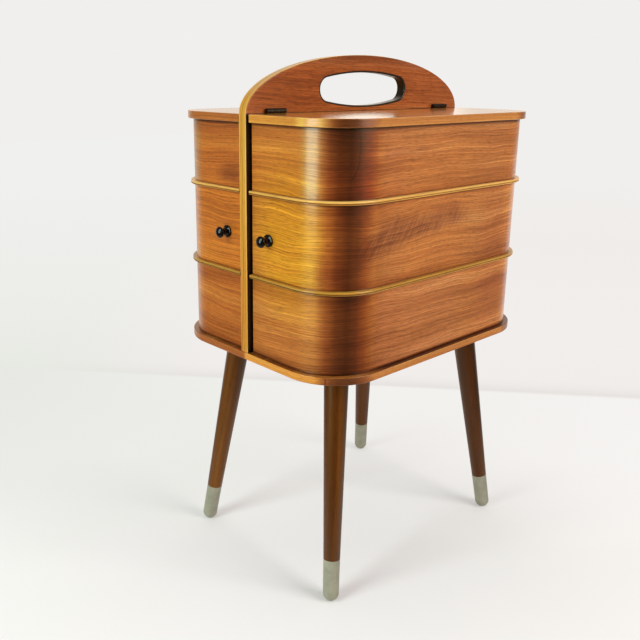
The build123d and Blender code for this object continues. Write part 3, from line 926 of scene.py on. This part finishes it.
from_grip = add(tree, "VectorMath", {0: place, 1: grip_middle}, operation="SUBTRACT").outputs[0]
quarter = add(tree, "VectorMath", {0: from_grip}, operation="ABSOLUTE").outputs[0]
flat_quarter = add(tree, "VectorMath", {0: quarter, 1: (0.0, 1.0, 1.0)}, operation="MULTIPLY").outputs[0]
to_end = add(tree, "VectorMath", {0: flat_quarter, 1: (0.0, end_middle * MM, 0.0)}, operation="DISTANCE")
to_arc = add(tree, "VectorMath", {0: flat_quarter, 1: arc_middle}, operation="DISTANCE")
past_end = both(tree, to_end.outputs["Value"], grip_end * MM, "SUBTRACT")
past_arc = both(tree, to_arc.outputs["Value"], arc_radius * MM, "SUBTRACT")
past_side = both(tree, axis_of(tree, quarter, "y"), arc_end * MM, "SUBTRACT")
past_middle = both(tree, past_arc, past_side, "MAXIMUM")
off_grip = rises(tree, both(tree, past_end, past_middle, "MINIMUM"), 1.9, 2.3)
print(f"grip {2 * grip_half_length:.0f} x {2 * grip_rise:.1f} mm, long arcs of {arc_radius:.0f} mm")

# %% [markdown]
# The strip lies between the two veneers, so the distance from the middle of the board tells face from
# strip. The paint of the grip covers both.

# %% Faces, strip and grip together
on_face = rises(tree, size_of(tree, side_x), board_half - 0.45, board_half - 0.3)
skin = blend_colours(tree, on_face, edging, faces)
skin = blend_colours(tree, off_grip, stain, skin)
feed(tree, shader, skin, figure[2], smooth=0.36, rough=0.5)
surface_relief(tree, shader, figure[2], depth=0.03)
tell(board, "done")

# %% [markdown]
# ## Lids and base
#
# Both are flat panels with veneered faces and a strip of paler wood glued round the edge. The strip has its
# own grain, which follows the edge. A colour ramp darkens it on the bends: painted shade, in place of the
# dark side of the room that the lacquer mirrors. The left half has darkened as a whole. On the right each
# stretch of the strip has its own tone.

# %% Strip round the panels
# Painted shade on the bend of the strip.
strip_bend_shade_marks = [(28, "FFFFFF"), (36, "D4CBE7"), (42, "AA97BC"), (50, "847690"), (60, "897C9A")]
strip_bend_shade_marks += [(68, "9C89AA"), (75, "B8AABF"), (82, "DAD7F3"), (90, "FFFFFF")]


def panel_strip(tree, place, colours, tones):
    """The strip round a panel; each tone of its right half has factors and the marks of a band on the way."""
    figure = grain(tree, wander(tree, place, 100.0, 2.0), "xy", ring=3.2)
    strip = wood_colour(tree, figure, colours, streak_share=0.3, pore_share=0.25)
    way = way_round(tree, place)
    strip = blend_colours(tree, 1.0, strip, ramp_on_way(tree, way, strip_bend_shade_marks), "MULTIPLY")
    side_x = axis_of(tree, place, "x")
    right = rises(tree, side_x, -2.0, 2.0)
    for factors, marks in tones:
        strip = toned(tree, strip, factors, right, on_way(tree, way, *marks))
    return toned(tree, strip, (0.66, 0.5, 0.52), rises(tree, side_x, 2.0, -2.0))


# %% [markdown]
# The height of a point within the panel tells face from edge. The face of the base is stained where the
# tiers cover it, and keeps its colour on the front rim, where it shows. The strip was polished by hand, so
# its coat is softer than that of the flat face.


# %% Material of the flat panels
covered_tone = paint("6A4030")[:3]


def panel_material(
    name, corners, face_colours, strip_colours, strip_tones, stained, coat_weight, coat_roughness
):
    """Veneered panel between two corners in mm, with a strip of other wood round the edge."""
    low, high = corners
    coat = {"Coat Weight": coat_weight, "Coat Roughness": coat_roughness, "Coat IOR": 1.5}
    material, tree, shader = start_material(name, **{"IOR": 1.5, "Specular Tint": warm_glint}, **coat)
    place = add(tree, "TexCoord").outputs["Object"]
    figure = grain(tree, wander(tree, place, 200.0, 12.0), "y", ring=7.0, across="x")
    face = wood_colour(tree, figure, face_colours)
    if stained:
        on_rim = rises(tree, axis_of(tree, place, "y"), -90.0, -120.0)
        face = toned(tree, face, covered_tone, between(tree, on_rim, 0.9, 0.1))

    middle, half_thickness = (low.z + high.z) / 2, (high.z - low.z) / 2
    from_middle = size_of(tree, both(tree, axis_of(tree, place, "z"), middle * MM, "SUBTRACT"))
    on_face = rises(tree, from_middle, half_thickness - 0.35, half_thickness - 0.2)
    strip = panel_strip(tree, place, strip_colours, strip_tones)
    tree.links.new(between(tree, on_face, 0.24, coat_roughness), shader.inputs["Coat Roughness"])
    feed(tree, shader, blend_colours(tree, on_face, strip, face), figure[2], smooth=0.36, rough=0.5)
    surface_relief(tree, shader, figure[2], depth=0.02)
    tell(material, "done")
    return material


# %% [markdown]
# Both panels come from that function. Each has a list of tones for its strip: the front, the long side,
# and what is special to it. On the lid that is a painted highlight on the front near the bend, paler still at
# its shoulders, and painted shade past the middle of the bend. On the base it is the seam where the two ends
# of its strip meet.

# %% Lid and base
# Painted highlight and painted shade on the lid's strip, besides its tones.
lid_strip_tones = [
    ((1.03, 1.03, 0.88), (*no_start, 26, 36)),
    ((1.12, 1.4, 1.5), (-1, 8, 26, 34)),
    ((0.92, 0.92, 1.35), (80, 90, *no_end)),
    ((1.15, 1.42, 2.0), (-1, 6, 10, 15)),
    ((1.15, 1.42, 2.0), (26, 30, 34, 38)),
    ((0.76, 0.62, 0.6), (38, 46, 62, 70)),
    ((0.95, 0.72, 0.45), (56, 64, 76, 86)),
]
base_strip_tones = [
    ((1.4, 1.65, 1.4), (*no_start, 26, 36)),
    ((1.05, 1.18, 1.45), (80, 90, *no_end)),
    ((0.42, 0.32, 0.3), (37.0, 37.6, 38.2, 38.8)),
]
lid_panel = panel_material(
    "lacquered_walnut_veneer_lid",
    (lid_low, lid_high),
    face_colours=("B06624", "C77A2C", "D88B34", "E69C3F", "F5B14F"),
    strip_colours=("BF782C", "CF8630", "DA9339", "E4A043", "F0B354"),
    strip_tones=lid_strip_tones,
    stained=False,
    coat_weight=1.0,
    coat_roughness=0.12,
)
base_panel = panel_material(
    "lacquered_walnut_veneer_base",
    (base_low, base_high),
    face_colours=("8C4A1C", "9E5922", "AC662A", "B87333", "C48240"),
    strip_colours=("A75C24", "B96C2C", "C57A33", "D0883E", "DB984F"),
    strip_tones=base_strip_tones,
    stained=True,
    coat_weight=0.5,
    coat_roughness=0.15,
)

# %% [markdown]
# ## The beads
#
# The two mouldings round the tiers are pale solid wood with two small reeds. The reeds are in the CAD
# solids already, so the material adds the grain, which follows the moulding, and a dark line of painted shade
# in the hollow between the reeds. The lower reed faces down, and on the front it is darkened with painted
# shade. The lower bead as a whole is a browner piece of wood than the upper one.

# %% Material of the beads
beads, tree, shader = start_material(
    "lacquered_pale_moulding_wood",
    **{"Specular Tint": warm_glint, "Coat Weight": 0.5, "Coat Roughness": 0.15, "Coat IOR": 1.5},
)
place = add(tree, "TexCoord").outputs["Object"]
height = axis_of(tree, place, "z")
on_front = rises(tree, axis_of(tree, place, "y"), -100.0, -130.0)
figure = grain(tree, wander(tree, place, 90.0, 2.0), "xy", ring=2.2)
honey = ("C58632", "D49940", "DFA94E", "E6B25A", "EBBF6D")
pale = wood_colour(tree, figure, honey, ring_share=0.15, streak_share=0.25, pore_share=0.2)
# Painted shade in the hollow between the reeds and on the lower reed's front.
for joint in tier_joints:
    hollow = band(tree, height, joint - 1.1, joint - 0.75, joint - 0.45, joint - 0.1)
    pale = blend_colours(tree, both(tree, hollow, 0.8), pale, paint("94622C"), "MULTIPLY")
    lower_reed = band(tree, height, joint - 3.0, joint - 2.9, joint - 0.8, joint - 0.5)
    pale = toned(tree, pale, (0.62, 0.5, 0.4), lower_reed, on_front)
on_lower_bead = rises(tree, height, 400.0, 380.0)
pale = toned(tree, pale, (0.7396, 0.7744, 0.64), on_lower_bead)
feed(tree, shader, pale, figure[2], smooth=0.34, rough=0.48)
surface_relief(tree, shader, figure[2], depth=0.02)
tell(beads, "done")

# %% [markdown]
# ## The legs
#
# The legs are turned from solid wood, so the grain runs along each leg, and each leans its own way. A point
# is slid sideways by its height times the lean, which stands all four legs upright for the pattern. The
# sign of x and y tells which leg it is. The right-hand side of each leg and ferrule, away from the front
# window, is darkened with painted shade.


# %% Helpers for the leaning legs
leg_rise = 255.05
leg_foot = (113.2 * MM, 147.7 * MM, 0.0)
leg_lean = (30.5 / leg_rise, 32.4 / leg_rise, 0.0)


def stood_upright(tree, place):
    """The place with the leg's lean taken out, and the signs of x and y, which tell the leg."""
    middle = (0.0, centre_y * MM, 0.0)
    centred = add(tree, "VectorMath", {0: place, 1: middle}, operation="SUBTRACT").outputs[0]
    signs = add(tree, "VectorMath", {0: centred}, operation="SIGN").outputs[0]
    slide = add(tree, "VectorMath", {0: signs, 1: leg_lean}, operation="MULTIPLY").outputs[0]
    height = axis_of(tree, place, "z")
    slide = add(tree, "VectorMath", {0: slide, "Scale": height}, operation="SCALE").outputs[0]
    return add(tree, "VectorMath", {0: centred, 1: slide}, operation="ADD").outputs[0], signs


def shaded_side(tree, upright, signs):
    """1 on the right-hand side of each leg, where painted shade darkens it."""
    axis = add(tree, "VectorMath", {0: signs, 1: leg_foot}, operation="MULTIPLY").outputs[0]
    offset = add(tree, "VectorMath", {0: upright, 1: axis}, operation="SUBTRACT").outputs[0]
    return rises(tree, how_far(tree, offset, to_right), 4.0, 11.0)


# %% [markdown]
# The stain is dark and even, so rings and streaks get only small shares. Each leg has its own tone, since
# each was turned from another piece of wood.

# %% Material of the legs
legs, tree, shader = start_material(
    "stained_turned_beech",
    **{"Specular IOR Level": 0.4, "Specular Tint": warm_glint, "Coat Weight": 0.3, "Coat Roughness": 0.22},
)
place = add(tree, "TexCoord").outputs["Object"]
upright, signs = stood_upright(tree, place)
figure = grain(tree, wander(tree, upright, 120.0, 2.5), "z", ring=5.0, across="x")
leg_browns = ("421D01", "4D2402", "592C03", "643505", "733F09")
turned = wood_colour(tree, figure, leg_browns, ring_share=0.12, streak_share=0.3, pore_share=0.3)
on_left = rises(tree, axis_of(tree, place, "x"), 2.0, -2.0)
in_front = rises(tree, axis_of(tree, place, "y"), 2.0, -2.0)
behind = elsewhere(tree, in_front)
turned = toned(tree, turned, (1.3, 1.42, 1.42), on_left, in_front)
turned = toned(tree, turned, (0.78, 0.66, 0.45), on_left, behind)
turned = toned(tree, turned, (0.92, 0.83, 0.62), elsewhere(tree, on_left), behind)
# Painted shade on the right-hand side of each leg.
turned = toned(tree, turned, (0.42, 0.46, 0.42), shaded_side(tree, upright, signs))
feed(tree, shader, turned, figure[2], smooth=0.38, rough=0.52)
surface_relief(tree, shader, figure[2], depth=0.03)
tell(legs, "done")

# %% [markdown]
# ## The black insides
#
# Trays, rails, stiles and the upper panels are plywood, stained black. Stain sinks in unevenly, so the
# grain stays faintly visible and the sheen changes along it. The same wood function makes it, with five
# blacks in place of the browns.

# %% Material of the trays
insides, tree, shader = start_material("black_stained_ply", **{"Coat Weight": 0.15, "Coat Roughness": 0.3})
place = add(tree, "TexCoord").outputs["Object"]
figure = grain(tree, wander(tree, place, 150.0, 6.0), "y", ring=5.0, across="x")
blacks = ("120F0D", "181412", "1D1815", "221C18", "2A231E")
feed(tree, shader, wood_colour(tree, figure, blacks), figure[2], smooth=0.45, rough=0.62)
surface_relief(tree, shader, figure[2], depth=0.04)
tell(insides, "done")

# %% [markdown]
# ## Enamel, lacquer and metal
#
# The ferrules are steel caps with a satin grey-green enamel. The knobs are turned wood under thick black
# lacquer. The hinges are bronzed steel that has gone nearly black, and the screws are plated steel. All
# four are even at first sight, and cloudy in tone and gloss when looked at closely, so one function makes
# them all.


# %% Small finishes
def cloudy_material(name, spot, stops, smooth, rough, relief, **shader_values):
    """A material whose colour and gloss vary in soft spots of the given size in mm."""
    material, tree, shader = start_material(name, **shader_values)
    place = add(tree, "TexCoord").outputs["Object"]
    cloud = add(tree, "TexNoise", {"Vector": place, "Scale": 1 / (spot * MM), "Detail": 3.0}).outputs["Fac"]
    tint = add(tree, "ValToRGB", {"Fac": cloud}, stops=stops).outputs["Color"]
    feed(tree, shader, tint, cloud, smooth, rough)
    surface_relief(tree, shader, cloud, relief)
    print(f"{name}: spots of {spot} mm")
    return material


satin = {"Coat Weight": 0.3, "Coat Roughness": 0.25}
thick = {"IOR": 1.45, "Specular IOR Level": 0.4}
enamel_tones = [(0.3, "84806B"), (0.7, "95907A")]
black_tones = [(0.3, "080706"), (0.7, "0E0C0A")]
bronze_tones = [(0.3, "1E1812"), (0.55, "332A20"), (0.75, "54442F")]
zinc_tones = [(0.3, "8E9092"), (0.7, "B4B5B2")]
enamel = cloudy_material("satin_grey_enamel", 9.0, enamel_tones, 0.34, 0.5, 0.01, **satin)
lacquer = cloudy_material("thick_black_lacquer", 3.0, black_tones, 0.05, 0.1, 0.004, **thick)
bronze = cloudy_material("dark_bronzed_steel", 2.0, bronze_tones, 0.5, 0.34, 0.02, Metallic=0.85)
steel = cloudy_material("zinc_plated_steel", 2.5, zinc_tones, 0.3, 0.48, 0.015, Metallic=1.0)

# %% [markdown]
# The ferrules get the same painted shade on their right-hand side as the legs above them. The enamel is
# there already, so its colour is taken from the socket that it feeds, toned, and given back.

# %% Shaded side of the ferrules
tree = enamel.node_tree
base_colour = tree.nodes["Principled BSDF"].inputs["Base Color"]
# Painted shade on the right-hand side of the ferrules.
shade = shaded_side(tree, *stood_upright(tree, add(tree, "TexCoord").outputs["Object"]))
shaded_enamel = toned(tree, base_colour.links[0].from_socket, (0.6, 0.62, 0.58), shade)
tree.links.new(shaded_enamel, base_colour)
tell(enamel, "shaded side")

# %% [markdown]
# ## Which part gets which finish
#
# A part's name says what it is, so a short list of words hands out the materials. The first word that a
# name holds decides, and the search stops the script if a name holds none of them.

# %% Hand out the materials
finishes = {
    "hinge": bronze,
    "screw": steel,
    "plates": steel,
    "bolts": steel,
    "base_plate": base_panel,
    "centre_board": board,
    "wall": walls,
    "bead": beads,
    "lid": lid_panel,
    "knob": lacquer,
    "ferrule": enamel,
    "leg": legs,
    "floor": insides,
    "rail": insides,
    "panel": insides,
    "stile": insides,
}
for name, node in nodes.items():
    finish = next(finishes[word] for word in finishes if word in name)
    for slot in node.material_slots:
        slot.material = finish
print(f"finishes on {len(nodes)} nodes")

# %% [markdown]
# ## Screws
#
# The hinges are held by small countersunk screws with a slot, and the leg plates by pan-head screws with a
# cross. A screw factory presses the head and then cuts or stamps its recess. It goes the same way here: a
# disc is cut by planes, and the faces between the planes are pushed in. Each kind of head is made once,
# facing up at the origin, and then copied to every hole.


# %% Helpers that select and start a head
def only(*objects):
    """Selects these objects and no others, with the first one active."""
    bpy.ops.object.select_all(action="DESELECT")
    for item in objects:
        item.select_set(True)
    bpy.context.view_layer.objects.active = objects[0]


def disc(radius, low, high, vertices):
    """A cylinder between two heights, in mm, with its place in its mesh."""
    bpy.ops.object.select_all(action="DESELECT")
    bpy.ops.mesh.primitive_cylinder_add(
        vertices=vertices, radius=radius * MM, depth=(high - low) * MM, location=(0, 0, (low + high) / 2 * MM)
    )
    bpy.ops.object.transform_apply(location=True)
    return bpy.context.object


# %% [markdown]
# A recess takes two steps. Planes cut the head along the outline of the recess, so that its floor gets
# faces of its own, and then those faces are extruded inwards. A boolean with a small box would do it too,
# but it leaves thin stray faces more easily.


# %% Helpers that cut a recess
def cut(head, axis, offsets):
    """Cuts the whole mesh by planes across one axis, at the given offsets in mm."""
    only(head)
    bpy.ops.object.mode_set(mode="EDIT")
    normal = Vector([float(letter == axis) for letter in "xyz"])
    for offset in offsets:
        bpy.ops.mesh.select_all(action="SELECT")
        bpy.ops.mesh.bisect(plane_co=normal * offset * MM, plane_no=normal)
    bpy.ops.object.mode_set(mode="OBJECT")


def push_in(head, depth, inside):
    """Pushes in those faces of the outer side whose middle, in mm, passes the test."""
    only(head)
    bpy.ops.object.mode_set(mode="EDIT")
    bpy.ops.mesh.select_mode(type="FACE")
    bpy.ops.mesh.select_all(action="DESELECT")
    bpy.ops.object.mode_set(mode="OBJECT")
    outer = max(face.center.z for face in head.data.polygons)
    for face in head.data.polygons:
        face.select = face.center.z > outer - 0.01 * MM and inside(face.center.x / MM, face.center.y / MM)
    bpy.ops.object.mode_set(mode="EDIT")
    bpy.ops.mesh.extrude_region_move(TRANSFORM_OT_translate={"value": (0.0, 0.0, -depth * MM)})
    bpy.ops.object.mode_set(mode="OBJECT")


# %% [markdown]
# A row of screws is one piece, since all of them sit in the same leaf and move with it. Every copy has its
# own mesh, is turned and moved to its hole, and is then joined to the others. Last, the place is applied,
# so the piece's object sits at the origin as every CAD part does.


# %% Heads in their holes
def place_heads(head, name, spots, turn, finish, body):
    """Copies a head to every spot in mm, turned the same way, as one piece that rides on a body."""
    copies = []
    for spot in spots:
        twin = head.copy()
        twin.data = head.data.copy()
        bpy.context.scene.collection.objects.link(twin)
        twin.matrix_world = Matrix.Translation(Vector(spot) * MM) @ turn
        copies.append(twin)
    only(*copies)
    bpy.ops.object.join()
    bpy.ops.object.transform_apply(location=True, rotation=True, scale=True)
    bpy.ops.object.shade_smooth_by_angle(angle=math.radians(35))
    piece = bpy.context.object
    piece.name = name
    piece.data.materials.clear()
    piece.data.materials.append(finish)
    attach(piece, body)
    print(f"{name}: {len(spots)} screws on {body}")


# %% [markdown]
# A countersunk head lies flush in the leaf, so only its flat face shows, with a slot across it. It stands
# 0.05 mm proud: the two leaves of a closed hinge lie just 0.2 mm apart.

# %% A slotted head
slot_half_width = 0.3
slotted = disc(radius=1.9, low=-0.6, high=0.0, vertices=28)
cut(slotted, "x", (-slot_half_width, slot_half_width))
push_in(slotted, 0.35, lambda x, y: abs(x) < slot_half_width)

# %% [markdown]
# The holes are measured from the leaves themselves. Each lid has a hinge near its front and one near its
# back, with two screws to a leaf. Each half of the body has a hinge near its foot and one near its top,
# with three screws one above another. The rows are the same in the leaves on the board and on what moves,
# left and right.

# %% Screws of the hinges
proud = 0.05
leaf = 1.0
lid_leaf_low, lid_leaf_high = measure("lid_hinge_board_leaves_right")
body_leaf_low, body_leaf_high = measure("body_hinge_board_leaves_right")
lid_screw_z = lid_leaf_low.z + 3.6
body_screw_y = body_leaf_low.y + 6.5


def from_both_ends(low, high, distances):
    """Places at the given distances from the low end and, mirrored, from the high end."""
    return [low + d for d in distances] + [high - d for d in reversed(distances)]


rows = {
    "lid": [(y, lid_screw_z) for y in from_both_ends(lid_leaf_low.y, lid_leaf_high.y, (5, 21))],
    "body": [(body_screw_y, z) for z in from_both_ends(body_leaf_low.z, body_leaf_high.z, (7, 25, 43))],
}
for side, sign in (("right", 1), ("left", -1)):
    outwards = Matrix.Rotation(sign * math.pi / 2, 4, "Y")
    inwards = Matrix.Rotation(-sign * math.pi / 2, 4, "Y")
    on_board = sign * (board_half + leaf + proud)
    on_half = sign * (wall_low.x - leaf - proud)
    for kind, spots in rows.items():
        board_spots = [(on_board, *spot) for spot in spots]
        half_spots = [(on_half, *spot) for spot in spots]
        name = f"{kind}_hinge_board_screws_{side}"
        place_heads(slotted, name, board_spots, outwards, bronze, "carcass")
        name = f"{kind}_hinge_screws_{side}"
        place_heads(slotted, name, half_spots, inwards, bronze, f"{side}_{kind}")
bpy.data.objects.remove(slotted)

# %% [markdown]
# A pan head stands on the plate. Its rim is rounded, and a cross is stamped into the top. A short piece of
# the shank fills the hole of the plate.

# %% A cross head
head_height = 2.1
cross_reach, cross_half_width = 1.9, 0.45
pan = disc(radius=3.7, low=0.0, high=head_height, vertices=32)
bpy.ops.object.mode_set(mode="EDIT")
bpy.ops.mesh.select_mode(type="EDGE")
bpy.ops.mesh.select_all(action="DESELECT")
bpy.ops.object.mode_set(mode="OBJECT")
for edge in pan.data.edges:
    edge.select = all(pan.data.vertices[v].co.z > (head_height - 0.1) * MM for v in edge.vertices)
bpy.ops.object.mode_set(mode="EDIT")
bpy.ops.mesh.bevel(offset=1.1 * MM, segments=4)
bpy.ops.object.mode_set(mode="OBJECT")
for axis in "xy":
    cut(pan, axis, (-cross_reach, -cross_half_width, cross_half_width, cross_reach))
push_in(pan, 1.1, lambda x, y: max(abs(x), abs(y)) < cross_reach and min(abs(x), abs(y)) < cross_half_width)

shank = disc(radius=1.9, low=-1.9, high=0.0, vertices=24)
only(pan, shank)
bpy.ops.object.join()

# %% [markdown]
# Each leg plate is fixed to the base by four of these screws, one near each of its corners.

# %% Screws of the leg plates
plate_x, plate_y, hole_offset = 82.7, 115.3, 22
plate_thickness = 2.0
hole_xs = [sign * (plate_x + offset) for sign in (-1, 1) for offset in (-hole_offset, hole_offset)]
hole_ys = [centre_y + sign * (plate_y + offset) for sign in (-1, 1) for offset in (-hole_offset, hole_offset)]
plate_spots = [(x, y, base_low.z - plate_thickness) for x in hole_xs for y in hole_ys]
downwards = Matrix.Rotation(math.pi, 4, "X")
place_heads(pan, "leg_plate_screws", plate_spots, downwards, steel, "carcass")
bpy.data.objects.remove(pan)
